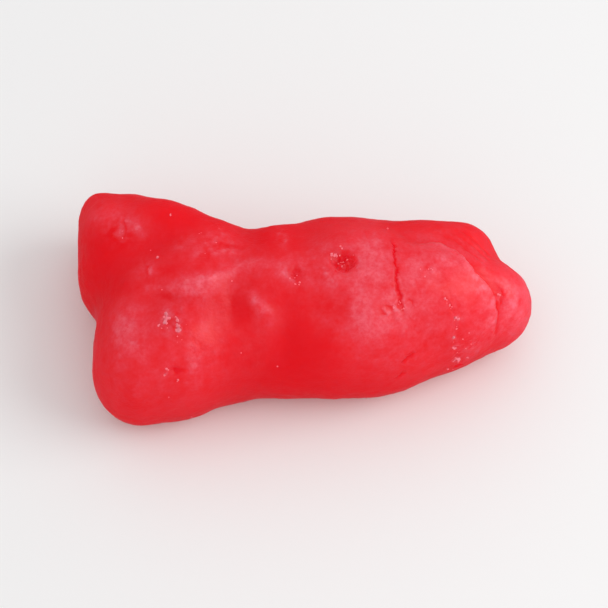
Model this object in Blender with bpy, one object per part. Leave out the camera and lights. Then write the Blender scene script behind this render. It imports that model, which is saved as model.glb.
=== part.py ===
"""Gummy bunny: one piece of soft red chewy candy, lying on its flat back.

The origin is at the middle of the underside. The ears point to -X, the feet to +X, the face and
the belly look up (+Z). Sizes are worked out in millimetres and the finished mesh is in metres.
"""

import math

import bmesh
import bpy
import numpy as np
from mathutils import Euler, Matrix

METRES_PER_MM = 0.001

# Driving sizes, in millimetres
LENGTH = 32.0
EAR_SPAN = 17.2
NECK_WIDTH = 11.6
ELBOW_SPAN = 13.4
LEG_WIDTH = 9.0
THICKNESS = 12.0

# One ear reaches a little further than the other
FAR_EAR_X = -LENGTH / 2.0
NEAR_EAR_X = -LENGTH / 2.0 + 1.0

# Heights worked out from the thickness: each lobe dips under the back plane before it is flattened
BACK_DIP = 2.4
MID_HEIGHT = (THICKNESS - BACK_DIP) / 2.0
HALF_DEPTH = (THICKNESS + BACK_DIP) / 2.0
EAR_HEIGHT = MID_HEIGHT - 0.3
EAR_DEPTH = HALF_DEPTH - 2.0

# The poured back: how softly the walls turn into it, how deep its flat is pressed, and how near
# to zero a height counts as flat
BACK_SOFTNESS = 0.55
BACK_CUT = 0.14
FLAT_WITHIN = 0.004

VOXEL = 0.34
SMOOTH_STEPS = 34
SMOOTH_FACTOR = 0.5
TRIANGLES = 9000

CANDY_RED = (0.62, 0.012, 0.02, 1.0)
CANDY_ROUGHNESS = 0.45


def clear_scene():
    for item in list(bpy.data.objects):
        bpy.data.objects.remove(item, do_unlink=True)


def candy_material():
    material = bpy.data.materials.new("red_candy")
    material.use_nodes = True
    shader = material.node_tree.nodes["Principled BSDF"]
    shader.inputs["Base Color"].default_value = CANDY_RED
    shader.inputs["Roughness"].default_value = CANDY_ROUGHNESS
    material.diffuse_color = CANDY_RED
    return material


def add_lobe(shape, centre, radii, yaw=0.0, pitch=0.0):
    """One rounded swelling: an ellipsoid turned about Z by yaw and tipped by pitch, in degrees."""
    turn = Euler((0.0, math.radians(pitch), math.radians(yaw)))
    place = Matrix.LocRotScale(centre, turn, radii)
    bmesh.ops.create_icosphere(shape, subdivisions=4, radius=1.0, matrix=place)


def add_head(shape):
    head_x = -LENGTH / 2.0 + 8.6
    add_lobe(shape, (head_x, 0.1, MID_HEIGHT), (6.6, NECK_WIDTH / 2.0 + 0.2, HALF_DEPTH - 1.0))
    crown_x = -LENGTH / 2.0 + 5.3
    add_lobe(shape, (crown_x, 0.2, MID_HEIGHT - 0.2), (4.1, EAR_SPAN / 2.0 - 1.6, HALF_DEPTH - 1.4))
    near_cheek = (head_x + 2.2, -3.3, MID_HEIGHT - 0.3)
    add_lobe(shape, near_cheek, (4.6, 3.4, HALF_DEPTH - 2.0), yaw=14.0)
    far_cheek = (head_x + 1.2, 2.9, MID_HEIGHT - 0.3)
    add_lobe(shape, far_cheek, (4.0, 3.0, HALF_DEPTH - 2.0), yaw=-16.0)


def add_near_ear(shape):
    """The ear on the -Y side, with a wide round corner."""
    side = -EAR_SPAN / 2.0
    corner = (NEAR_EAR_X + 3.5, side + 3.6, EAR_HEIGHT)
    add_lobe(shape, corner, (3.6, 3.6, EAR_DEPTH))
    inner = (NEAR_EAR_X + 3.2, -2.9, EAR_HEIGHT)
    add_lobe(shape, inner, (3.2, 3.1, EAR_DEPTH + 0.2))
    root = (NEAR_EAR_X + 6.2, side + 4.5, EAR_HEIGHT + 0.2)
    add_lobe(shape, root, (5.8, 3.9, EAR_DEPTH + 0.6), yaw=20.0)


def add_far_ear(shape):
    """The ear on the +Y side, straight along its tip and tighter at its corner."""
    side = EAR_SPAN / 2.0
    corner = (FAR_EAR_X + 1.4, side - 1.7, EAR_HEIGHT - 0.5)
    add_lobe(shape, corner, (1.7, 1.8, EAR_DEPTH - 0.7))
    tip = (FAR_EAR_X + 2.0, side - 3.6, EAR_HEIGHT)
    add_lobe(shape, tip, (2.2, 3.2, EAR_DEPTH))
    outer = (FAR_EAR_X + 3.6, side - 2.9, EAR_HEIGHT - 0.4)
    add_lobe(shape, outer, (3.0, 2.9, EAR_DEPTH - 0.2))
    inner = (FAR_EAR_X + 3.0, 2.6, EAR_HEIGHT)
    add_lobe(shape, inner, (3.2, 3.3, EAR_DEPTH + 0.2))
    root = (FAR_EAR_X + 6.2, side - 4.5, EAR_HEIGHT + 0.2)
    add_lobe(shape, root, (5.8, 3.3, EAR_DEPTH + 0.6), yaw=-20.0)


def add_torso(shape):
    shoulder = (-1.2, -0.5, MID_HEIGHT)
    add_lobe(shape, shoulder, (8.0, NECK_WIDTH / 2.0 + 0.3, HALF_DEPTH - 0.9))
    waist = (3.6, -0.1, MID_HEIGHT)
    add_lobe(shape, waist, (8.4, ELBOW_SPAN / 2.0 - 0.3, HALF_DEPTH - 0.5))
    belly = (4.6, -0.2, MID_HEIGHT + 2.0)
    add_lobe(shape, belly, (6.2, 4.2, 4.7))


def add_arms(shape):
    """Each arm runs from the shoulder round the elbow to a paw that lies on the belly."""
    for side, reach in ((-1, 0.2), (1, 0.9)):
        elbow = (1.9, side * (ELBOW_SPAN / 2.0 - 2.3 - reach), MID_HEIGHT + 0.4)
        add_lobe(shape, elbow, (4.2, 2.5, 4.7))
        paw = (-1.6, side * 2.6 - 0.3, MID_HEIGHT + 2.9)
        add_lobe(shape, paw, (2.9, 2.4, 2.6), yaw=side * 25.0)


def add_legs(shape):
    """Two legs close together. The near one, on the -Y side, lies over the far one's edge."""
    near_thigh = (7.6, -0.4, MID_HEIGHT + 0.2)
    add_lobe(shape, near_thigh, (7.2, LEG_WIDTH / 2.0, HALF_DEPTH - 1.0), yaw=5.0)
    far_thigh = (8.0, 3.0, MID_HEIGHT - 0.3)
    add_lobe(shape, far_thigh, (6.0, 3.1, HALF_DEPTH - 1.9), yaw=2.0)
    near_foot = (LENGTH / 2.0 - 3.2, 0.2, MID_HEIGHT - 0.3)
    add_lobe(shape, near_foot, (3.4, 2.8, HALF_DEPTH - 2.7))
    far_foot = (LENGTH / 2.0 - 5.2, 3.2, MID_HEIGHT - 0.3)
    add_lobe(shape, far_foot, (3.1, 2.9, HALF_DEPTH - 2.3))


def body_mesh():
    """All the lobes in one mesh, still overlapping."""
    shape = bmesh.new()
    add_head(shape)
    add_near_ear(shape)
    add_far_ear(shape)
    add_torso(shape)
    add_arms(shape)
    add_legs(shape)
    mesh = bpy.data.meshes.new("lobes")
    shape.to_mesh(mesh)
    shape.free()
    return mesh


def melt_together(mesh):
    """The lobes as one skin, with the creases between them softened as in cast candy."""
    bunny = bpy.data.objects.new("gummy_bunny", mesh)
    bpy.context.scene.collection.objects.link(bunny)
    skin = bunny.modifiers.new("one skin", "REMESH")
    skin.mode = "VOXEL"
    skin.voxel_size = VOXEL
    soft = bunny.modifiers.new("soft creases", "SMOOTH")
    soft.factor = SMOOTH_FACTOR
    soft.iterations = SMOOTH_STEPS
    bake_modifiers(bunny)
    return bunny


def bake_modifiers(bunny):
    graph = bpy.context.evaluated_depsgraph_get()
    baked = bpy.data.meshes.new_from_object(bunny.evaluated_get(graph))
    bunny.modifiers.clear()
    bunny.data = baked


def read_points(mesh):
    points = np.empty(len(mesh.vertices) * 3)
    mesh.vertices.foreach_get("co", points)
    return points.reshape(-1, 3)


def write_points(mesh, points):
    mesh.vertices.foreach_set("co", points.ravel())
    mesh.update()


def flatten_back(bunny):
    """What dips under the back plane is pressed up to it, flat in the middle with a soft rim."""
    points = read_points(bunny.data)
    pressed = BACK_SOFTNESS * np.log1p(np.exp(points[:, 2] / BACK_SOFTNESS))
    points[:, 2] = np.maximum(pressed - BACK_CUT, 0.0)
    write_points(bunny.data, points)


def thin_out(bunny):
    mesh = bunny.data
    mesh.calc_loop_triangles()
    fewer = bunny.modifiers.new("fewer triangles", "DECIMATE")
    fewer.ratio = min(1.0, TRIANGLES / len(mesh.loop_triangles))
    bake_modifiers(bunny)


def place_in_metres(bunny):
    """The middle of the box over the origin, the back exactly on Z = 0, and the sizes in metres."""
    points = read_points(bunny.data)
    middle = (points.min(axis=0) + points.max(axis=0)) / 2.0
    middle[2] = 0.0
    points -= middle
    points[points[:, 2] < FLAT_WITHIN, 2] = 0.0
    write_points(bunny.data, points * METRES_PER_MM)


def build_bunny():
    bunny = melt_together(body_mesh())
    flatten_back(bunny)
    thin_out(bunny)
    place_in_metres(bunny)
    bunny.data.materials.clear()
    bunny.data.materials.append(candy_material())
    bunny.data.shade_smooth()
    return bunny


clear_scene()
build_bunny()
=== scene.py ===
"""A gummy bunny of soft red gum, lying on its poured back on a pale table, ears to the left."""

import math
import random

import bpy
import numpy as np
from mathutils import Euler, Matrix, Vector, noise
from mathutils.bvhtree import BVHTree


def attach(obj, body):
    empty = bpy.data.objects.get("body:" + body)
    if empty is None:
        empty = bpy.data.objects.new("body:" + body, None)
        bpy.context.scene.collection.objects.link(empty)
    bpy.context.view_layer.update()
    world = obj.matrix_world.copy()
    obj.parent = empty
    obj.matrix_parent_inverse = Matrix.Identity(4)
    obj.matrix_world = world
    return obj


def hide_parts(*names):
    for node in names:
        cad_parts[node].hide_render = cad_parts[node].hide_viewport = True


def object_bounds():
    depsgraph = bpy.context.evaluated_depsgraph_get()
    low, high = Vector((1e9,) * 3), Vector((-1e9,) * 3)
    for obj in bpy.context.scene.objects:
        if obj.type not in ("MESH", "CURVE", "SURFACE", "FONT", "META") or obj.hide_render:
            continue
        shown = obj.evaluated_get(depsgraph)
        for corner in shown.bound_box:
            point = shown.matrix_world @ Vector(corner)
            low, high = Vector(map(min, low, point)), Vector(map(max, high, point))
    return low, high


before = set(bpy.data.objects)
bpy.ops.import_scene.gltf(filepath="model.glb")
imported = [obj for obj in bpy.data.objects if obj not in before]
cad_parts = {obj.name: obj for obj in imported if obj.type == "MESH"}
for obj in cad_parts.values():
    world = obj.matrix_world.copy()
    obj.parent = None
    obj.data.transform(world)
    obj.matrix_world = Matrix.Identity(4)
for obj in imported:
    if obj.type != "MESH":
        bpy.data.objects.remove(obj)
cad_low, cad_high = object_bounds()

MM = 0.001
BODY = "root"


# ---------------------------------------------------------------- the gum, as it left the mould
# The whole sweet is one casting of red gelatine gum. The starch mould gives it soft lobes with
# no sharp edge: two blunt ears in a V, the head, two paws on the belly, and the legs side by side.
# The skin starts from the cast form, made of even small faces and melted smooth.

WELD_WITHIN = 0.001 * MM
SKIN_STEP = 0.22 * MM
SOFTEN_FACTOR = 0.5
SOFTEN_STEPS = 12


def pick_only(piece):
    bpy.ops.object.select_all(action="DESELECT")
    piece.select_set(True)
    bpy.context.view_layer.objects.active = piece


def apply_modifiers(piece):
    pick_only(piece)
    for modifier in list(piece.modifiers):
        bpy.ops.object.modifier_apply(modifier=modifier.name)


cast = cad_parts["gummy_bunny"]
gum = bpy.data.objects.new("bunny_gum", cast.data.copy())
bpy.context.scene.collection.objects.link(gum)
pick_only(gum)
bpy.ops.object.mode_set(mode="EDIT")
bpy.ops.mesh.select_all(action="SELECT")
bpy.ops.mesh.remove_doubles(threshold=WELD_WITHIN)
bpy.ops.object.mode_set(mode="OBJECT")

skin = gum.modifiers.new("even skin", "REMESH")
skin.mode = "VOXEL"
skin.voxel_size = SKIN_STEP
soften = gum.modifiers.new("melted facets", "SMOOTH")
soften.factor = SOFTEN_FACTOR
soften.iterations = SOFTEN_STEPS
apply_modifiers(gum)


# ---------------------------------------------------------------- where the gum was marked
# Handling has marked the soft gum on its worked side, which looks up and a little towards -Y. A
# place there is (x, upward) in millimetres: upward runs from the foot of the near wall, over the
# belly, to the far wall. The skin gets finer faces wherever a fine mark goes.

FACE_TILT = math.radians(60.0)
UPWARD = np.array((0.0, math.sin(FACE_TILT), math.cos(FACE_TILT)))
OUTWARD = np.array((0.0, -math.cos(FACE_TILT), math.sin(FACE_TILT)))

BROW_RIDGE = (
    (-10.9, 3.5), (-10.3, 3.7), (-9.4, 3.6), (-8.3, 3.8), (-6.8, 4.25), (-5.4, 4.85), (-3.9, 5.2),
    (-2.4, 5.25), (-1.5, 5.3),
)
CHEEK_ARC = ((-10.6, 3.2), (-9.7, 3.35), (-8.9, 3.05), (-8.4, 2.6))
NECK_FOLD = ((-4.8, 4.3), (-4.95, 3.2), (-4.9, 2.3), (-5.1, 1.2), (-5.2, 0.2))
WAIST_EDGE = ((3.3, 4.2), (3.3, 2.6), (3.2, 1.3), (3.6, 0.3))
HIP_CRACK = (
    (6.1, 7.0), (6.3, 6.4), (6.36, 5.7), (6.5, 4.9), (6.45, 4.1), (6.65, 3.2), (6.75, 2.4), (6.8, 2.0),
)
LEG_RIM = (
    (7.7, 6.6), (8.8, 6.85), (9.9, 6.65), (10.65, 6.25), (11.35, 5.55), (12.1, 4.65), (12.8, 4.0),
    (13.3, 3.2), (13.55, 2.3), (13.5, 1.2), (13.35, 0.3), (13.2, -0.6),
)
TOE_CREASE = ((13.4, 3.6), (14.0, 3.3), (13.9, 2.7), (14.0, 2.1))
SUGAR_LINE = (
    (9.95, 2.9), (10.2, 2.3), (10.5, 1.65), (10.65, 1.2), (10.5, 0.2), (10.6, -0.8), (10.65, -1.4),
)
LEG_CREASES = (((6.8, -1.75), (7.3, -1.3), (7.9, -0.9)), ((6.4, -2.85), (6.8, -2.5), (7.15, -2.2)))
WRINKLES = (
    ((5.3, 2.5), (5.7, 2.45), (6.0, 2.15), (6.1, 1.85)),
    ((6.45, 2.75), (6.6, 2.35), (6.85, 2.05), (6.95, 1.7)),
    ((7.0, 2.85), (7.4, 2.65), (7.8, 2.35)),
    ((5.2, 1.8), (5.8, 1.7)),
    ((8.3, 5.3), (8.6, 5.0), (9.0, 4.8)),
    ((11.9, 5.15), (12.6, 4.4), (13.3, 3.75)),
)
PALE_STROKES = (
    ((6.05, 2.5), (6.25, 2.1), (6.5, 1.75)),
    ((6.35, 2.8), (6.55, 2.45)),
    ((6.85, 2.5), (6.95, 2.05)),
    ((5.65, 2.05), (5.95, 1.65)),
    ((-5.2, 6.35), (-5.75, 6.2), (-6.2, 6.25)),
    ((-4.6, 6.1), (-5.5, 5.9)),
    ((-12.6, 8.5), (-12.0, 8.15), (-11.5, 7.6)),
    ((-10.9, 4.4), (-10.8, 4.9), (-10.6, 5.3)),
    ((12.0, 3.9), (12.7, 3.4), (13.1, 2.9)),
    ((13.4, 3.4), (13.8, 3.35)),
    ((13.55, 3.0), (13.85, 2.95)),
    ((-1.3, 5.3), (-1.35, 4.8), (-1.05, 4.3), (-0.5, 4.0)),
    ((1.4, 5.4), (1.45, 4.9), (1.75, 4.3), (2.3, 3.9)),
)
FOOT_LINES = (
    ((9.2, 7.5), (10.7, 6.95), (12.0, 5.9), (13.1, 4.95)),
    ((9.9, 7.75), (11.2, 7.1), (12.4, 6.1), (13.3, 5.15)),
    ((10.8, 7.75), (11.8, 7.15), (12.8, 6.2), (13.4, 5.4)),
    ((11.3, 6.1), (12.1, 5.2), (12.9, 4.6), (13.6, 4.1)),
)
EAR_SCARS = (
    ((-12.8, 8.7), (-12.6, 7.9), (-12.5, 7.2)),
    ((-13.9, 7.3), (-13.3, 7.1), (-12.9, 6.7)),
    ((-11.3, 5.8), (-11.0, 4.9), (-10.9, 4.3)),
)
BIG_PIT = (2.75, 5.55)
SMALL_PIT = (-0.6, 4.75)
EAR_PIT = (-8.95, -2.2)
SUGAR_NICK = (10.85, -1.85)
TOE_SCUFF = (13.7, 3.0)
UNDER_RIM = (12.55, 4.45)
EAR_FLANK = (-6.0, 8.0)

# What gets finer faces: all the thin lines, and round spots, each with its radius
FINE_TRAILS = (HIP_CRACK, LEG_RIM, TOE_CREASE, SUGAR_LINE)
FINE_TRAILS += LEG_CREASES + WRINKLES + PALE_STROKES + FOOT_LINES + EAR_SCARS
PIT_SPOTS = ((BIG_PIT, 1.2), (SMALL_PIT, 0.9), (EAR_PIT, 0.7), (SUGAR_NICK, 0.5), (TOE_SCUFF, 0.6))
ROUGH_SPOTS = (
    ((-7.7, 6.6), 1.4), ((-5.6, 6.5), 1.4), ((-13.2, 7.8), 1.7), ((6.3, 2.0), 1.4), ((-9.1, 0.8), 1.3),
    ((-8.2, -1.2), 1.3), ((8.7, 5.0), 0.8), ((11.7, -0.3), 0.9), ((-1.6, 7.3), 0.8),
)
FINE_REACH = 0.60
FINEST_REACH = 0.30

# How long the straight stretches of a trail are, how far off the gum a sight line starts, and what
# stands for "no trail near here"
TRAIL_STEP = 0.4
SIGHT_START = 40.0
FAR_AWAY = 1e9


def skin_arrays():
    """Places and normals of the skin's points, in millimetres."""
    mesh = gum.data
    places = np.empty(len(mesh.vertices) * 3)
    directions = np.empty(len(mesh.vertices) * 3)
    mesh.vertices.foreach_get("co", places)
    mesh.vertices.foreach_get("normal", directions)
    return places.reshape(-1, 3) / MM, directions.reshape(-1, 3)


def skin_tree():
    return BVHTree.FromObject(gum, bpy.context.evaluated_depsgraph_get())


def on_skin(tree, x, upward):
    """The skin at a place of the worked side, and the way out of the gum there; None off the edge."""
    start = np.array((x, 0.0, 0.0)) + upward * UPWARD + SIGHT_START * OUTWARD
    spot, normal, _, _ = tree.ray_cast(Vector(start) * MM, Vector(-OUTWARD))
    if spot is None:
        return None, None
    return np.array(spot) / MM, np.array(normal)


def smooth_trail(tree, path):
    """A path laid over the skin as short straight stretches, rounded where the path turns."""
    knots = np.array((path[0],) + path + (path[-1],))
    trail = []
    for before, start, end, after in zip(knots[:-3], knots[1:-2], knots[2:-1], knots[3:]):
        stretches = max(1, round(np.linalg.norm(end - start) / TRAIL_STEP))
        for share in np.arange(stretches) / stretches:
            curve = 2.0 * start + (end - before) * share
            curve += (2.0 * before - 5.0 * start + 4.0 * end - after) * share ** 2
            curve += (3.0 * (start - end) + after - before) * share ** 3
            trail.append(on_skin(tree, *(curve / 2.0))[0])
    trail.append(on_skin(tree, *path[-1])[0])
    return np.array([spot for spot in trail if spot is not None])


def trail_distance(places, trail, directions, reach):
    """For each place: how far the trail is, its side (+1 left, -1 right), and how far along it is."""
    nearest = np.full(len(places), FAR_AWAY)
    side = np.ones(len(places))
    along = np.zeros(len(places))
    boxed = np.all((places > trail.min(axis=0) - reach) & (places < trail.max(axis=0) + reach), axis=1)
    close = np.flatnonzero(boxed)
    for leg, (start, end) in enumerate(zip(trail[:-1], trail[1:])):
        step = end - start
        share = np.clip(((places[close] - start) @ step) / (step @ step), 0.0, 1.0)
        off = places[close] - (start + share[:, None] * step)
        gap = np.linalg.norm(off, axis=1)
        nearer = gap < nearest[close]
        here = close[nearer]
        nearest[here] = gap[nearer]
        side[here] = np.sign(np.einsum("ij,ij->i", np.cross(step, off[nearer]), directions[here]))
        along[here] = (leg + share[nearer]) / (len(trail) - 1)
    return nearest, side, along


def refine_near_marks(reach, spots):
    """Quarters the faces near the fine trails and the spots, and smooths the new points a little."""
    tree = skin_tree()
    mesh = gum.data
    centres = np.empty(len(mesh.polygons) * 3)
    mesh.polygons.foreach_get("center", centres)
    centres = centres.reshape(-1, 3) / MM
    chosen = np.zeros(len(centres), dtype=bool)
    upwards = np.tile((0.0, 0.0, 1.0), (len(centres), 1))
    for path in FINE_TRAILS:
        chosen |= trail_distance(centres, smooth_trail(tree, path), upwards, reach)[0] < reach
    for place, radius in spots:
        chosen |= np.linalg.norm(centres - on_skin(tree, *place)[0], axis=1) < radius
    pick_only(gum)
    bpy.ops.object.mode_set(mode="EDIT")
    bpy.ops.mesh.select_mode(type="FACE")
    bpy.ops.mesh.select_all(action="DESELECT")
    bpy.ops.object.mode_set(mode="OBJECT")
    mesh.polygons.foreach_set("select", chosen)
    bpy.ops.object.mode_set(mode="EDIT")
    bpy.ops.mesh.subdivide(number_cuts=1, quadcorner="INNERVERT")
    bpy.ops.mesh.vertices_smooth(factor=0.5, repeat=4)
    bpy.ops.object.mode_set(mode="OBJECT")


refine_near_marks(FINE_REACH, PIT_SPOTS + ROUGH_SPOTS)
refine_near_marks(FINEST_REACH, PIT_SPOTS)

points, normals = skin_arrays()
tree = skin_tree()


# ---------------------------------------------------------------- the marks pressed into the gum
# Soft swells and hollows, ledges, grooves and pits, all added up into one height over the skin,
# together with three masks for the finish: a haze mask (dull sugar haze, and painted sheen and
# highlights where the lamp would shine), torn (raw, rough gum) and a clear-red mask (the clear
# dark red inside a crack or pit, and painted shade in those hollows, the creases and by the leg rim).

# How deep each mark goes or how high it stands, in millimetres
EAR_FLANK_RISE = 0.30
NECK_DEPTH = 0.16
BROW_RISE = 0.08
BROW_SWELL = 0.10
CHEEK_DEPTH = 0.08
RIM_RISE = 0.07
CRACK_DEPTH = 0.16
CRACK_LIP = 0.03
CREASE_DEPTH = 0.11
SCRATCH_DEPTH = 0.045
FOOT_LINE_DEPTH = 0.060
TOE_DEPTH = 0.11
SUGAR_LINE_DEPTH = 0.05
STROKE_RISE = 0.035
BIG_PIT_DEPTH = 0.40
BIG_PIT_LIP = 0.08
SMALL_PIT_DEPTH = 0.15
SMALL_PIT_LIP = 0.06
EAR_PIT_DEPTH = 0.18
NICK_DEPTH = 0.22

# How far each mark clears to dark red, from 0 to 1: the clear gum inside, and painted shade in
# these hollows, the creases and beside the leg rim
CRACK_DARK = 0.90
CREASE_DARK = 0.55
TOE_DARK = 0.50
RIM_DARK = 0.50
UNDER_RIM_DARK = 0.40
BIG_PIT_DARK = 0.62
SMALL_PIT_DARK = 0.50
EAR_PIT_DARK = 0.55
NICK_DARK = 0.9

# How far inside the outermost sides of the cast the skin stays, in millimetres
MARGIN = 0.02


def noise_field(size, seed, octaves=1):
    """Smooth noise over the skin, about -1 to 1, with features of the given size in millimetres."""
    shift = Vector((seed * 17.3, seed * 5.1, seed * 9.7))
    values = [noise.fractal(Vector(point) / size + shift, 0.6, 2.1, octaves) for point in points]
    return np.clip(np.array(values), -1.0, 1.0)


def smoothstep(low, high, value):
    share = np.clip((value - low) / (high - low), 0.0, 1.0)
    return share * share * (3.0 - 2.0 * share)


off_back = smoothstep(0.15, 1.2, points[:, 2])
wander = noise_field(0.9, 1, 2)
ragged = noise_field(0.28, 2, 2)
lumps = noise_field(3.2, 3)
ripples = noise_field(1.1, 4, 2)
grit = noise_field(0.42, 5, 2)
clouds = noise_field(2.2, 6, 2)
pebbles = noise_field(0.46, 7)
veins = 1.0 - smoothstep(0.0, 0.16, np.abs(noise_field(0.85, 10, 2)))

across = points[:, 0]
upward = points @ UPWARD
worked_side = smoothstep(0.0, 0.3, normals @ OUTWARD)

height = np.zeros(len(points))
haze_and_sheen = np.zeros(len(points))
torn = np.zeros(len(points))
clear_and_shade = np.zeros(len(points))
scratches = np.zeros(len(points))


def oval(x, up, long, wide, turn=0.0, waver=0.0):
    """A soft oval on the worked side, 1 in the middle, about a third at its half sizes."""
    angle = math.radians(turn)
    dx = across - x + waver * wander
    dy = upward - up + waver * ripples
    along = dx * math.cos(angle) + dy * math.sin(angle)
    aside = dy * math.cos(angle) - dx * math.sin(angle)
    return worked_side * np.exp(-((along / long) ** 2) - (aside / wide) ** 2)


def ball(place, radius, power=2.0, waver=0.0):
    """A round spot on the skin, 1 in the middle; a higher power makes its edge crisper."""
    gap = np.linalg.norm(points - on_skin(tree, *place)[0], axis=1) * (1.0 + waver * wander)
    return np.exp(-((gap / radius) ** power))


def tapered(along, ends):
    """1 in the middle of a path and 0 at its two ends."""
    return smoothstep(0.0, ends, along) * smoothstep(0.0, ends, 1.0 - along)


def groove(path, half_width, waver=0.0, ends=0.12, shift=0.0):
    """A line along a path, or shifted to its right: 1 in its middle, wavering, and gone at its ends."""
    gap, side, along = trail_distance(points, smooth_trail(tree, path), normals, 3.0 * half_width + 0.6)
    gap = gap * side + shift + waver * half_width * (wander + 0.8 * ragged)
    return np.exp(-((gap / half_width) ** 2)) * tapered(along, ends)


def ledge(path, left, right, edge, reach, ends=0.25):
    """A step along a path: its left and right heights, how wide the step is, and how far it fades."""
    gap, side, along = trail_distance(points, smooth_trail(tree, path), normals, 3.0 * reach)
    share = smoothstep(-edge, edge, gap * side + 0.20 * wander + 0.07 * ragged)
    fade = np.exp(-((gap / reach) ** 2)) * tapered(along, ends)
    return (share * left + (1.0 - share) * right) * fade


# Swells and hollows: x, upward, half length, half width, turn, rise
for x, up, long, wide, turn, rise in (
    (-3.1, 2.4, 1.00, 0.45, -48.0, 0.26),
    (-1.3, 0.6, 0.95, 2.60, 0.0, -0.32),
    (1.2, 0.2, 1.50, 2.10, 0.0, -0.24),
    (4.7, 0.8, 1.50, 1.50, 0.0, 0.16),
    (-2.6, 8.0, 1.30, 0.90, -30.0, 0.12),
    (-11.8, 5.6, 2.20, 0.90, 30.0, -0.20),
    (-13.7, 6.7, 0.80, 0.60, 0.0, -0.14),
    (-7.4, 3.7, 1.90, 0.70, 14.0, 0.12),
    (-12.2, 1.2, 0.90, 1.60, -12.0, 0.10),
    (-9.7, 3.0, 1.10, 0.36, -15.0, -0.14),
    (-6.6, 0.4, 1.10, 1.80, 0.0, -0.10),
    (0.6, 7.0, 1.20, 0.90, 0.0, -0.10),
    (9.3, 4.6, 1.60, 0.90, -25.0, -0.10),
    (9.0, -1.8, 2.00, 0.80, 12.0, 0.08),
    (15.0, 2.6, 0.90, 1.20, -10.0, 0.08),
):
    height += rise * oval(x, up, long, wide, turn)
height += EAR_FLANK_RISE * ball(EAR_FLANK, 1.7)

neck_line = groove(NECK_FOLD, 0.55, 0.4, 0.45)
height -= NECK_DEPTH * neck_line
brow_line = groove(BROW_RIDGE, 0.22, 0.7, 0.3)
brow_band = groove(BROW_RIDGE, 0.60, 0.4, 0.3)
height += BROW_RISE * brow_line + BROW_SWELL * brow_band
height -= CHEEK_DEPTH * groove(CHEEK_ARC, 0.25, 0.5, 0.3)
height += ledge(WAIST_EDGE, 0.06, -0.12, 0.50, 1.3, 0.5)
height += ledge(LEG_RIM, -0.40, 0.05, 0.18, 0.85, 0.5)
rim_line = groove(LEG_RIM, 0.20, 0.4, 0.15, 0.24)
rim_band = groove(LEG_RIM, 0.35, 0.4, 0.2, 0.45)
height += RIM_RISE * rim_line

crack = groove(HIP_CRACK, 0.12, 1.1)
height -= CRACK_DEPTH * crack
height += CRACK_LIP * groove(HIP_CRACK, 0.35)
# Painted shade: the crack clears to dark red, partly the clear gum inside it
clear_and_shade += CRACK_DARK * crack

# Painted shade: the creases clear to darker red
for path in LEG_CREASES:
    crease = groove(path, 0.20, 0.6, 0.35)
    height -= CREASE_DEPTH * crease
    clear_and_shade += CREASE_DARK * crease
for path in WRINKLES + EAR_SCARS:
    scratches += groove(path, 0.13, 1.1, 0.35)
height -= SCRATCH_DEPTH * scratches
for path in FOOT_LINES:
    foot_line = groove(path, 0.17, 0.5, 0.35)
    height -= FOOT_LINE_DEPTH * foot_line
    scratches += 0.6 * foot_line
# Painted shade: the toe crease clears to darker red
toe = groove(TOE_CREASE, 0.15, 1.2, 0.3)
height -= TOE_DEPTH * toe
clear_and_shade += TOE_DARK * toe
height -= SUGAR_LINE_DEPTH * groove(SUGAR_LINE, 0.14, 0.5)
# Painted shade: darker red in the hollow beside the leg rim and in a streak under its lip
clear_and_shade += ledge(LEG_RIM, RIM_DARK, 0.0, 0.08, 0.28, 0.5) * smoothstep(-0.5, 0.4, clouds)
clear_and_shade += UNDER_RIM_DARK * oval(*UNDER_RIM, 0.90, 0.20, -47.0, 0.12)
strokes = np.zeros(len(points))
for path in PALE_STROKES:
    strokes += groove(path, 0.13, 1.0, 0.35)
height += STROKE_RISE * strokes

pit = ball(BIG_PIT, 0.88, 6.0, 0.12)
height += pit * (-BIG_PIT_DEPTH + 0.14 * ragged) + BIG_PIT_LIP * ball(BIG_PIT, 1.3) * (1.0 - pit)
small_pit = ball(SMALL_PIT, 0.54, 3.0, 0.30)
height += small_pit * (-SMALL_PIT_DEPTH + 0.08 * ragged)
height += SMALL_PIT_LIP * ball(SMALL_PIT, 0.9) * (1.0 - small_pit)
ear_pit = ball(EAR_PIT, 0.38, 3.0, 0.3)
height += ear_pit * (-EAR_PIT_DEPTH + 0.05 * ragged)
nick = ball(SUGAR_NICK, 0.26, 3.0, 0.2)
height -= NICK_DEPTH * nick
# Painted shade: the pits and the nick clear to dark red, partly the clear gum inside them
clear_and_shade += BIG_PIT_DARK * pit * (1.0 + 0.6 * pebbles) + SMALL_PIT_DARK * small_pit
clear_and_shade += EAR_PIT_DARK * ear_pit + NICK_DARK * nick

# Rough patches: x, upward, half length, half width, turn, roughness
for x, up, long, wide, turn, share in (
    (-6.4, 6.6, 2.3, 0.95, 2.0, 0.6),
    (-13.1, 7.7, 1.2, 0.70, -30.0, 0.8),
    (6.4, 2.1, 1.1, 0.50, -4.0, 0.6),
    (-9.1, 1.0, 0.8, 0.90, 30.0, 0.8),
    (-7.7, -1.0, 0.5, 1.30, 0.0, 0.6),
    (-10.8, 4.9, 0.4, 0.40, 0.0, 0.8),
    (13.7, 3.0, 0.4, 0.60, -30.0, 0.8),
    (-1.6, 7.3, 0.4, 0.70, 15.0, 0.8),
    (8.6, 5.0, 0.6, 0.50, 0.0, 0.7),
    (11.7, -0.3, 0.7, 0.70, 0.0, 0.6),
    (10.7, -0.6, 0.4, 1.00, 0.0, 0.5),
):
    torn += share * oval(x, up, long, wide, turn)
torn += 0.3 * pit + 0.4 * small_pit + 0.3 * ear_pit + 0.35 * groove(HIP_CRACK, 0.3)
torn += 0.7 * smoothstep(0.35, 0.75, noise_field(3.4, 9, 2)) * (1.0 - worked_side) * off_back
torn = np.clip(torn, 0.0, 1.0)
height += torn * (0.06 * pebbles + 0.03 * ragged - 0.02 * veins)
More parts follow.
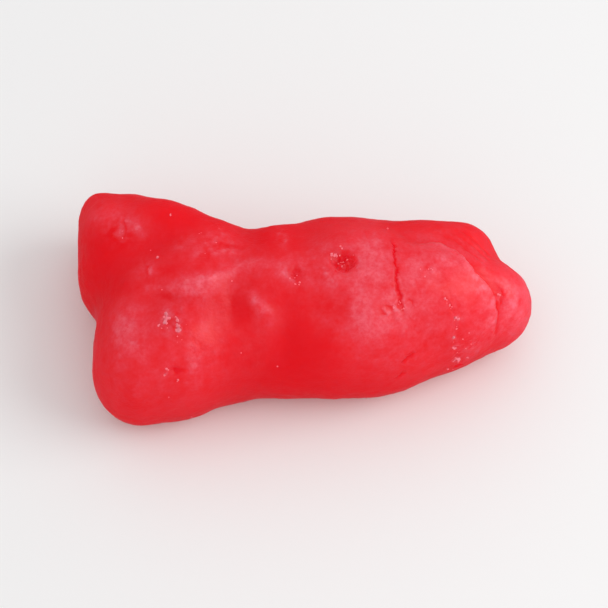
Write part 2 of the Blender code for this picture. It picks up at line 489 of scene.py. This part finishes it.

# Dull haze on the worked side, with painted sheen and highlights on the swells and slopes that
# face the lamp: x, upward, half length, half width, turn, strength
for x, up, long, wide, turn, share in (
    (-14.1, 8.7, 1.20, 1.00, 0.0, 0.27),
    (-12.0, 8.0, 0.95, 0.50, -41.0, 0.42),
    (-12.9, 7.45, 0.32, 0.36, 0.0, 0.55),
    (-12.8, 8.6, 2.40, 1.20, -8.0, 0.18),
    (-13.55, 6.5, 0.22, 0.18, 0.0, 0.40),
    (-6.4, 6.5, 2.30, 1.05, 0.0, 0.42),
    (-10.8, 4.9, 0.45, 0.45, 0.0, 0.50),
    (-11.6, 4.4, 0.60, 0.80, 0.0, 0.16),
    (-10.8, 5.0, 2.00, 1.80, 0.0, 0.13),
    (-7.7, 3.8, 1.50, 0.65, 8.0, 1.40),
    (-5.4, 4.7, 1.60, 0.50, 20.0, 0.45),
    (-2.6, 5.3, 1.80, 0.70, 0.0, 0.32),
    (-10.8, 3.6, 0.50, 0.25, 15.0, 0.55),
    (-12.4, 0.9, 1.20, 1.40, -12.0, 1.30),
    (-11.6, -0.4, 0.60, 1.10, 10.0, 0.42),
    (-9.3, 1.0, 0.84, 1.10, 30.0, 0.28),
    (-7.7, -1.1, 0.50, 1.30, 0.0, 0.34),
    (-10.6, -1.9, 4.80, 3.40, 0.0, 0.29),
    (-6.8, 2.9, 1.20, 1.00, 0.0, 0.20),
    (-7.6, 5.3, 1.10, 0.60, 10.0, 0.12),
    (-6.6, 1.2, 1.60, 2.20, 0.0, 0.15),
    (-6.4, -1.2, 2.20, 2.40, 0.0, 0.08),
    (-9.1, 1.8, 1.40, 1.50, 0.0, 0.17),
    (-10.5, 0.3, 0.90, 0.90, 0.0, 0.10),
    (-4.6, 3.7, 0.90, 0.80, 0.0, 0.27),
    (-3.1, 4.2, 1.20, 1.20, 0.0, 0.10),
    (-3.1, 2.45, 1.00, 0.34, -48.0, 1.45),
    (-2.6, 1.8, 1.30, 1.20, 0.0, 0.28),
    (-3.3, 0.0, 1.10, 1.60, 0.0, 0.10),
    (-0.7, 4.7, 1.10, 0.85, 0.0, 0.45),
    (-1.6, 7.2, 0.40, 0.84, 15.0, 0.32),
    (7.4, 3.2, 6.40, 4.80, 0.0, 0.44),
    (1.6, 4.2, 0.50, 0.80, 40.0, 0.55),
    (-1.4, 5.0, 0.28, 0.55, 0.0, 0.35),
    (2.6, 4.0, 0.80, 0.40, -20.0, 0.34),
    (2.4, 6.0, 2.20, 1.50, 0.0, 0.20),
    (1.4, 1.4, 0.60, 0.46, 0.0, 0.40),
    (4.6, 1.2, 1.30, 1.30, 0.0, 0.60),
    (2.9, 1.4, 1.40, 1.50, 0.0, 0.25),
    (1.4, 3.8, 2.20, 2.20, 0.0, 0.13),
    (3.8, 2.4, 0.60, 1.40, 0.0, 0.30),
    (4.6, 5.7, 1.10, 2.10, 0.0, 1.05),
    (5.3, 3.4, 1.10, 1.30, 0.0, 0.28),
    (5.6, -1.4, 2.80, 1.20, 0.0, 0.14),
    (7.9, 4.4, 1.10, 2.10, 0.0, 0.36),
    (9.0, 1.7, 1.40, 1.10, 0.0, 0.14),
    (12.7, 2.4, 1.20, 3.00, 0.0, 0.15),
    (12.6, 1.2, 1.00, 1.20, 0.0, 0.10),
    (8.6, 5.0, 0.55, 0.50, 0.0, 0.40),
    (6.7, 2.1, 1.40, 0.50, 0.0, 0.40),
    (6.5, 4.0, 1.70, 1.50, 0.0, 0.20),
    (6.28, 2.22, 0.13, 0.22, 20.0, 0.90),
    (6.50, 1.95, 0.10, 0.18, 30.0, 0.80),
    (6.95, 2.25, 0.11, 0.18, 0.0, 0.80),
    (6.45, 2.68, 0.12, 0.16, 0.0, 0.70),
    (10.0, 5.2, 1.60, 1.20, -30.0, 0.45),
    (15.1, 2.6, 1.30, 2.20, -10.0, 1.35),
    (11.9, 6.4, 2.20, 0.90, -35.0, 0.24),
    (11.7, -0.3, 0.80, 0.80, 0.0, 0.30),
    (12.4, 3.3, 1.60, 0.45, -50.0, 0.25),
    (13.8, 3.1, 0.50, 0.60, 0.0, 0.45),
    (13.45, 3.30, 0.18, 0.12, -20.0, 0.70),
    (13.65, 3.05, 0.12, 0.14, 0.0, 0.70),
    (13.30, 2.55, 0.14, 0.26, 25.0, 0.70),
    (9.90, 6.70, 0.34, 0.12, -5.0, 0.90),
    (10.63, 1.56, 0.20, 0.20, 0.0, 0.55),
    (10.50, 0.15, 0.18, 0.22, 0.0, 0.55),
    (10.56, -0.52, 0.18, 0.20, 0.0, 0.55),
    (10.69, -1.44, 0.26, 0.22, 0.0, 0.75),
    (11.50, -1.20, 0.20, 0.20, 0.0, 0.45),
    (-9.60, 1.50, 0.22, 0.46, -8.0, 1.50),
    (-8.77, 1.00, 0.22, 0.50, 8.0, 1.30),
    (-9.60, -2.25, 0.18, 0.30, -35.0, 0.50),
    (-6.35, 6.80, 0.24, 0.32, 20.0, 0.45),
    (-7.30, 6.05, 0.30, 0.22, 10.0, 0.45),
    (-8.70, 6.45, 0.24, 0.13, 0.0, 0.40),
    (-6.75, 7.45, 0.22, 0.14, -20.0, 0.30),
    (-5.00, 6.70, 0.22, 0.16, 0.0, 0.30),
    (-5.90, 7.15, 0.28, 0.14, 10.0, 0.25),
):
    haze_and_sheen += share * oval(x, up, long, wide, turn, 0.10)
# Haze and painted sheen along the brow ridge, and a painted highlight along the lip of the leg rim
haze_and_sheen += 0.22 * brow_line + 0.16 * brow_band + 0.55 * strokes
haze_and_sheen += (0.75 * rim_line + 0.40 * rim_band) * smoothstep(-0.9, 0.2, ripples)
haze_and_sheen = 1.0 - np.exp(-haze_and_sheen)

# Painted shade: the haze and painted sheen taken out again where the gum lies in shade, in the
# hollows and on slopes turned from the lamp: x, upward, half length, half width, turn, share
for x, up, long, wide, turn, share in (
    (-4.1, 2.0, 0.60, 1.70, 0.0, 0.68),
    (-0.6, -0.8, 1.50, 3.20, 0.0, 0.80),
    (1.3, -0.6, 1.60, 2.20, 0.0, 0.70),
    (2.0, 2.4, 0.90, 0.90, 0.0, 0.35),
    (0.0, -3.3, 2.20, 0.90, 0.0, 0.75),
    (4.6, -3.6, 1.60, 0.80, 0.0, 0.35),
    (-13.7, 6.6, 0.95, 0.60, 0.0, 0.70),
    (-11.2, 6.6, 2.20, 0.60, 10.0, 0.30),
    (-14.4, 2.6, 1.50, 2.20, 0.0, 0.90),
    (-13.8, -0.6, 0.80, 1.80, 0.0, 0.25),
    (-9.6, 3.1, 1.00, 0.25, -12.0, 0.65),
    (9.7, 4.0, 1.00, 0.60, 0.0, 0.18),
    (6.2, 8.1, 2.80, 0.80, 0.0, 0.60),
    (-3.0, 7.8, 2.00, 0.80, 0.0, 0.50),
    (-6.9, 8.0, 1.40, 0.70, 0.0, 0.35),
    (15.1, 4.3, 0.80, 0.80, 0.0, 0.25),
    (11.6, 7.0, 2.20, 0.80, -30.0, 0.35),
    (14.6, 0.4, 1.20, 0.80, 0.0, 0.20),
):
    haze_and_sheen *= 1.0 - share * oval(x, up, long, wide, turn, 0.08)
# Painted shade: haze and sheen cut away beside the neck fold, the waist edge and the leg rim
haze_and_sheen *= 1.0 - ledge(NECK_FOLD, 0.45, 0.0, 0.22, 0.6, 0.5)
haze_and_sheen *= 1.0 - ledge(WAIST_EDGE, 0.0, 0.45, 0.35, 1.2, 0.5)
haze_and_sheen *= 1.0 - ledge(LEG_RIM, 0.85, 0.0, 0.08, 0.34, 0.2)
haze_and_sheen += (0.18 + 0.15 * noise_field(4.0, 8, 2)) * (1.0 - worked_side) * off_back
haze_and_sheen *= 1.0 + 0.26 * ripples + 0.24 * clouds + 0.34 * grit
haze_and_sheen += torn * (0.70 * pebbles + 0.15 * ragged)
haze_and_sheen *= 1.0 - 0.35 * torn * veins
haze_and_sheen *= 1.0 - 0.75 * np.clip(scratches, 0.0, 1.0)
# Painted shade: no haze or sheen where the colour is painted clear dark red
haze_and_sheen *= 1.0 - np.clip(clear_and_shade, 0.0, 1.0)

height += off_back * (0.06 * lumps + 0.040 * ripples + 0.012 * grit)

moved = (points + normals * height[:, None]) * MM
low = np.array(cad_low) + np.array((MARGIN, MARGIN, 0.0)) * MM
high = np.array(cad_high) - MARGIN * MM
moved = np.clip(moved, low, high)
gum.data.vertices.foreach_set("co", moved.ravel())
gum.data.update()

for name, values in (("haze_and_sheen", haze_and_sheen), ("torn", torn), ("clear_and_shade", clear_and_shade)):
    mask = gum.data.attributes.new(name, "FLOAT", "POINT")
    mask.data.foreach_set("value", np.clip(values, 0.0, 1.0))


# ---------------------------------------------------------------- the finish of the gum
# Clear cherry-red gelatine. Red light travels some millimetres inside it and the rest is
# swallowed at once, under a soft, slightly dull skin that has a fine grain and no hard gloss.

GUM_RED = (0.80, 0.005, 0.012, 1.0)
HAZE_AND_SHEEN_RED = (0.83, 0.152, 0.210, 1.0)
DEEP_RED = (0.79, 0.006, 0.021, 1.0)
GUM_IOR = 1.42
GUM_GRAIN = 0.036 * MM

# How deep light travels in the gum, and the shares of that for red, green and blue
LIGHT_DEPTH = 5.5 * MM
LIGHT_SHARES = (1.0, 0.06, 0.05)

gum_finish = bpy.data.materials.new("red_gum")
gum_finish.use_nodes = True
gum_nodes = gum_finish.node_tree.nodes
gum_links = gum_finish.node_tree.links
shader = gum_nodes["Principled BSDF"]
shader.inputs["Subsurface Weight"].default_value = 1.0
shader.inputs["Subsurface Radius"].default_value = LIGHT_SHARES
shader.inputs["Subsurface Scale"].default_value = LIGHT_DEPTH
shader.inputs["IOR"].default_value = GUM_IOR

where = gum_nodes.new("ShaderNodeTexCoord")


def gum_noise(size, detail, roughness=0.55):
    """A noise texture on the gum, with features of the given size in millimetres."""
    texture = gum_nodes.new("ShaderNodeTexNoise")
    texture.inputs["Scale"].default_value = 1.0 / (size * MM)
    texture.inputs["Detail"].default_value = detail
    texture.inputs["Roughness"].default_value = roughness
    gum_links.new(where.outputs["Object"], texture.inputs["Vector"])
    return texture.outputs["Fac"]


def gum_mask(name):
    mask = gum_nodes.new("ShaderNodeAttribute")
    mask.attribute_name = name
    return mask.outputs["Fac"]


def gum_product(first, second):
    step = gum_nodes.new("ShaderNodeMath")
    step.operation = "MULTIPLY"
    gum_links.new(first, step.inputs[0])
    gum_links.new(second, step.inputs[1])
    return step.outputs["Value"]


def gum_blend(share, first, second):
    mix = gum_nodes.new("ShaderNodeMix")
    mix.data_type = "RGBA"
    gum_links.new(share, mix.inputs["Factor"])
    for socket, value in ((mix.inputs["A"], first), (mix.inputs["B"], second)):
        if isinstance(value, tuple):
            socket.default_value = value
        else:
            gum_links.new(value, socket)
    return mix.outputs["Result"]


def gum_range(value, from_low, from_high, to_low, to_high):
    step = gum_nodes.new("ShaderNodeMapRange")
    limits = {"From Min": from_low, "From Max": from_high, "To Min": to_low, "To Max": to_high}
    for socket, limit in limits.items():
        step.inputs[socket].default_value = limit
    gum_links.new(value, step.inputs["Value"])
    return step.outputs["Result"]


speckle = gum_range(gum_noise(0.24, 2.0, 0.6), 0.34, 0.66, 0.78, 1.22)
blotch = gum_range(gum_noise(0.80, 5.0, 0.6), 0.34, 0.66, 0.62, 1.38)
frost = gum_product(speckle, blotch)
# The haze mask mixes in milky pink: the dull sugar haze, and painted sheen and highlights
haze_and_sheen_share = gum_range(gum_mask("haze_and_sheen"), 0.0, 1.0, 0.02, 0.85)
milky_haze_and_sheen = gum_product(frost, haze_and_sheen_share)
colour = gum_blend(milky_haze_and_sheen, GUM_RED, HAZE_AND_SHEEN_RED)
# The clear-red mask turns the colour back to dark red: painted shade in cracks, pits and creases
colour = gum_blend(gum_mask("clear_and_shade"), colour, DEEP_RED)
gum_links.new(colour, shader.inputs["Base Color"])

dulled = gum_range(gum_noise(0.8, 4.0), 0.3, 0.7, 0.30, 0.46)
gum_links.new(dulled, shader.inputs["Roughness"])

fine = gum_nodes.new("ShaderNodeBump")
fine.inputs["Distance"].default_value = GUM_GRAIN
fine.inputs["Strength"].default_value = 1.0
roughened = gum_range(gum_mask("torn"), 0.0, 1.0, 0.7, 2.2)
gum_links.new(gum_product(gum_noise(0.20, 3.0, 0.6), roughened), fine.inputs["Height"])
gum_links.new(fine.outputs["Normal"], shader.inputs["Normal"])

gum.data.materials.clear()
gum.data.materials.append(gum_finish)
gum.data.shade_smooth()

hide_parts("gummy_bunny")
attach(gum, BODY)


# ---------------------------------------------------------------- the sugar grains on the skin
# Clear sugar crystals, each a blunt block, most of them 0.07 to 0.24 mm long, stuck to the gum in
# the pits, along the leg and on the near ear, with odd ones strewn over the rest.

SUGAR_TINT = (1.0, 0.22, 0.28, 1.0)
BLUNTING = 0.16
STAND_OFF = 0.12
STRAY_GRAINS = 26
STRAY_SIZES = (0.05, 0.10)
CLEAR_BELOW = Vector((0.2, 0.2, 0.5)) * MM
CLEAR_ABOVE = Vector((0.2, 0.2, 0.2)) * MM
GRAINS_PER_STRETCH = 2

rng = random.Random(11)

bpy.ops.object.select_all(action="DESELECT")
bpy.ops.mesh.primitive_cube_add(size=1.0, location=(0.0, 0.0, 0.0))
first_grain = bpy.context.object
bpy.ops.object.mode_set(mode="EDIT")
bpy.ops.mesh.select_all(action="SELECT")
bpy.ops.mesh.bevel(offset=BLUNTING, segments=1, affect="EDGES")
bpy.ops.object.mode_set(mode="OBJECT")

final_tree = skin_tree()
grains = []


def place_grain(spot, outward, size):
    """One crystal, turned at random, with its middle a little way out of the gum."""
    twist = Euler([rng.uniform(0.0, math.tau) for _ in range(3)]).to_matrix().to_4x4()
    shape = [size * rng.uniform(0.7, 1.25) * MM for _ in range(3)]
    middle = Vector((spot + outward * size * STAND_OFF) * MM)
    mesh = first_grain.data.copy()
    mesh.transform(Matrix.Translation(middle) @ twist @ Matrix.Diagonal((*shape, 1.0)))
    grain = bpy.data.objects.new("grain", mesh)
    bpy.context.scene.collection.objects.link(grain)
    grains.append(grain)


def scatter_near(x, up, count, spread, size):
    for _ in range(count):
        spot, outward = on_skin(final_tree, x + rng.gauss(0.0, spread), up + rng.gauss(0.0, spread))
        if spot is not None:
            place_grain(spot, outward, size * rng.uniform(0.6, 1.3))


# Clusters: x, upward, how many, spread, size
for x, up, count, spread, size in (
    (-9.56, 1.80, 4, 0.06, 0.15),
    (-9.62, 1.50, 6, 0.07, 0.17),
    (-9.68, 1.22, 5, 0.06, 0.19),
    (-8.82, 1.35, 4, 0.07, 0.14),
    (-8.76, 1.00, 5, 0.07, 0.14),
    (-8.72, 0.66, 5, 0.06, 0.20),
    (-10.05, 1.10, 2, 0.08, 0.12),
    (-9.10, 0.90, 8, 0.50, 0.06),
    (-9.44, -2.06, 3, 0.08, 0.10),
    (-9.72, -2.42, 2, 0.06, 0.14),
    (-8.80, -2.88, 2, 0.06, 0.10),
    (-0.40, 3.90, 4, 0.14, 0.10),
    (-0.95, 4.30, 3, 0.20, 0.07),
    (2.15, 5.95, 4, 0.08, 0.15),
    (2.55, 6.35, 3, 0.08, 0.10),
    (2.85, 5.50, 14, 0.36, 0.07),
    (-10.20, 5.70, 2, 0.05, 0.14),
    (-9.35, 8.75, 2, 0.08, 0.09),
    (5.75, 7.80, 1, 0.08, 0.12),
    (8.60, 5.00, 5, 0.28, 0.07),
    (6.50, 2.40, 3, 0.20, 0.08),
    (6.28, 2.20, 2, 0.05, 0.09),
    (6.94, 2.26, 2, 0.05, 0.09),
    (13.69, 3.19, 3, 0.12, 0.10),
    (-6.40, 6.50, 5, 0.85, 0.06),
    (-12.80, 7.50, 2, 0.20, 0.07),
    (9.94, 2.88, 2, 0.06, 0.10),
    (10.20, 2.42, 2, 0.05, 0.12),
    (10.63, 1.56, 3, 0.06, 0.14),
    (10.50, 0.19, 3, 0.06, 0.14),
    (10.56, -0.50, 3, 0.06, 0.14),
    (10.69, -1.44, 7, 0.09, 0.17),
    (11.50, -1.20, 2, 0.08, 0.12),
    (10.20, -2.10, 2, 0.05, 0.12),
    (11.70, -0.10, 4, 0.35, 0.09),
):
    scatter_near(x, up, count, spread, size)
for start, end in zip(SUGAR_LINE[:-1], SUGAR_LINE[1:]):
    for _ in range(GRAINS_PER_STRETCH):
        x, up = np.array(start) + (np.array(end) - start) * rng.random()
        scatter_near(x, up, 1, 0.09, rng.uniform(0.05, 0.11))

# Odd grains anywhere that is clear of the back and of the outermost skin
areas = [face.area for face in gum.data.polygons]
inner_low = Vector(cad_low) + CLEAR_BELOW
inner_high = Vector(cad_high) - CLEAR_ABOVE
for face in rng.choices(list(gum.data.polygons), weights=areas, k=STRAY_GRAINS):
    place = face.center
    if all(least < value < most for least, value, most in zip(inner_low, place, inner_high)):
        place_grain(np.array(place) / MM, np.array(face.normal), rng.uniform(*STRAY_SIZES))

bpy.data.objects.remove(first_grain, do_unlink=True)
bpy.ops.object.select_all(action="DESELECT")
for grain in grains:
    grain.select_set(True)
bpy.context.view_layer.objects.active = grains[0]
bpy.ops.object.join()
sugar = bpy.context.object
sugar.name = "sugar_grains"

sugar_finish = bpy.data.materials.new("clear_sugar")
sugar_finish.use_nodes = True
sugar_shader = sugar_finish.node_tree.nodes["Principled BSDF"]
sugar_shader.inputs["Base Color"].default_value = SUGAR_TINT
sugar_shader.inputs["Roughness"].default_value = 0.42
sugar_shader.inputs["Subsurface Weight"].default_value = 0.6
sugar_shader.inputs["Subsurface Radius"].default_value = (1.0, 0.6, 0.6)
sugar_shader.inputs["Subsurface Scale"].default_value = 0.1 * MM
sugar_shader.inputs["IOR"].default_value = 1.54
sugar.data.materials.clear()
sugar.data.materials.append(sugar_finish)
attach(sugar, BODY)


# ---------------------------------------------------------------- table, light and camera
# A pale table in an evenly lit tent, with one broad soft lamp on the right. What the gum mirrors
# of the tent is dim and red, though the tent lights it white.

TABLE_SIZE = 1.2
TABLE_COLOUR = (0.9, 0.9, 0.9, 1.0)
VIEW_WIDTH = 43.0 * MM
VIEW_DISTANCE = 0.42
VIEW_ELEVATION = 60.0
VIEW_CENTRE = Vector((0.0, 0.0, 5.0 * MM))
SENSOR = 36.0
NEAREST_SEEN = 0.01
LAMP_PLACE = Vector((0.22, -0.03, 0.17))
LAMP_SIZE = 0.24
LAMP_WATTS = 0.33
TENT_LIGHT = (0.78, 0.78, 0.78, 1.0)
TENT_MIRRORED = (0.40, 0.11, 0.12, 1.0)

bpy.ops.object.select_all(action="DESELECT")
bpy.ops.mesh.primitive_plane_add(size=TABLE_SIZE, location=(0.0, 0.0, 0.0))
table = bpy.context.object
table.name = "table"
table_finish = bpy.data.materials.new("pale_table")
table_finish.use_nodes = True
table_shader = table_finish.node_tree.nodes["Principled BSDF"]
table_shader.inputs["Base Color"].default_value = TABLE_COLOUR
table_shader.inputs["Roughness"].default_value = 0.8
table_shader.inputs["Specular IOR Level"].default_value = 0.1
table.data.materials.append(table_finish)
table.visible_glossy = False

view = bpy.data.cameras.new("view")
view.sensor_width = SENSOR
view.lens = SENSOR * VIEW_DISTANCE / VIEW_WIDTH
view.clip_start = NEAREST_SEEN
camera = bpy.data.objects.new("view", view)
bpy.context.scene.collection.objects.link(camera)
elevation = math.radians(VIEW_ELEVATION)
towards_camera = Vector((0.0, -math.cos(elevation), math.sin(elevation)))
camera.location = VIEW_CENTRE + towards_camera * VIEW_DISTANCE
camera.rotation_euler = towards_camera.to_track_quat("Z", "Y").to_euler()
bpy.context.scene.camera = camera

lamp = bpy.data.lights.new("soft_lamp", "AREA")
lamp.shape = "DISK"
lamp.size = LAMP_SIZE
lamp.energy = LAMP_WATTS
light = bpy.data.objects.new("soft_lamp", lamp)
bpy.context.scene.collection.objects.link(light)
light.location = LAMP_PLACE
light.rotation_euler = LAMP_PLACE.to_track_quat("Z", "Y").to_euler()

world = bpy.data.worlds.new("tent")
world.use_nodes = True
tent_nodes = world.node_tree.nodes
tent_links = world.node_tree.links
ray = tent_nodes.new("ShaderNodeLightPath")
tent = tent_nodes.new("ShaderNodeMix")
tent.data_type = "RGBA"
tent.inputs["A"].default_value = TENT_LIGHT
tent.inputs["B"].default_value = TENT_MIRRORED
tent_links.new(ray.outputs["Is Glossy Ray"], tent.inputs["Factor"])
tent_links.new(tent.outputs["Result"], tent_nodes["Background"].inputs["Color"])
bpy.context.scene.world = world
bpy.context.scene.view_settings.view_transform = "Standard"
